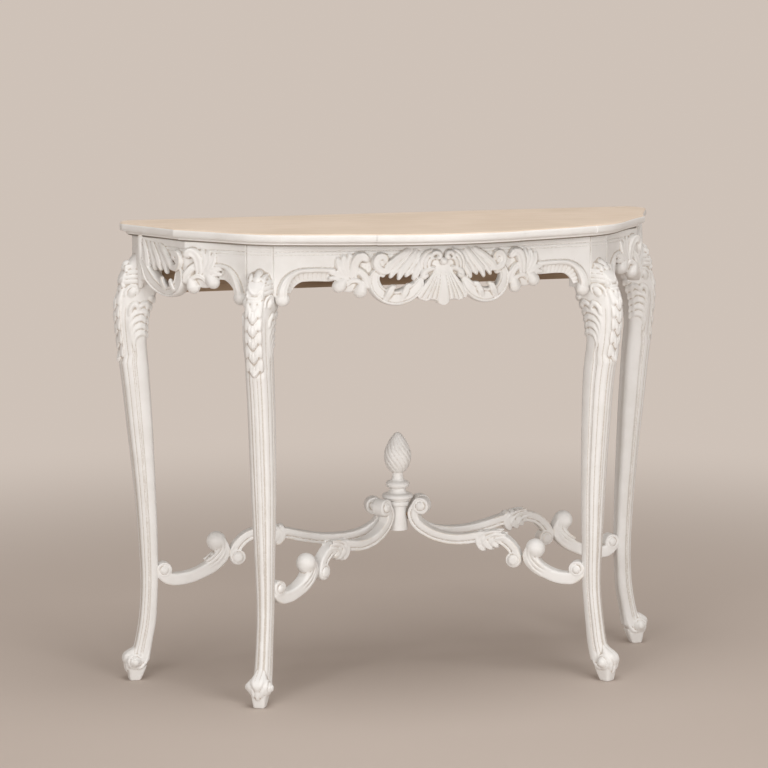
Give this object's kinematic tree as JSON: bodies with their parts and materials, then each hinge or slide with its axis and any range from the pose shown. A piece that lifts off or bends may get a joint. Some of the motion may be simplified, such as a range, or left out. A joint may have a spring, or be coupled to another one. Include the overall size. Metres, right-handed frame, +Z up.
{
  "type": "pier table",
  "caption": "Carved console table with a bow-front moulded top, pierced aprons, cabriole legs on rolled feet and a scrolled cross stretcher with a flame finial.",
  "frame": {"origin": "on the floor below the middle of the table's overall box", "axes": "+X along the wall to the right as seen from the front, +Y to the wall, +Z up"},
  "size_m": [1.0034, 0.39, 0.8],
  "materials": {
    "white_paint": "aged white paint, rubbed edges, grey in the crevices",
    "cream_top_paint": "cream paint, worn satin",
    "bare_wood": "unfinished",
    "screw_steel": "plain"
  },
  "bodies": {
    "root": {"arm_dowels": "bare_wood", "back_rail": "bare_wood", "brace_screws": "screw_steel", "finial": "white_paint", "front_apron": "white_paint", "front_left_arm": "white_paint", "front_left_brace": "bare_wood", "front_left_foot_scroll": "white_paint", "front_left_leg": "white_paint", "front_right_arm": "white_paint", "front_right_brace": "bare_wood", "front_right_foot_scroll": "white_paint", "front_right_leg": "white_paint", "front_shell": "white_paint", "hub_dowels": "bare_wood", "left_side_apron": "white_paint", "leg_dowels": "bare_wood", "rear_left_arm": "white_paint", "rear_left_brace": "bare_wood", "rear_left_foot_scroll": "white_paint", "rear_left_leg": "white_paint", "rear_right_arm": "white_paint", "rear_right_brace": "bare_wood", "rear_right_foot_scroll": "white_paint", "rear_right_leg": "white_paint", "right_side_apron": "white_paint", "stretcher_hub": "white_paint", "top_panel": "cream_top_paint", "top_screws": "screw_steel"}
  },
  "joints": []
}
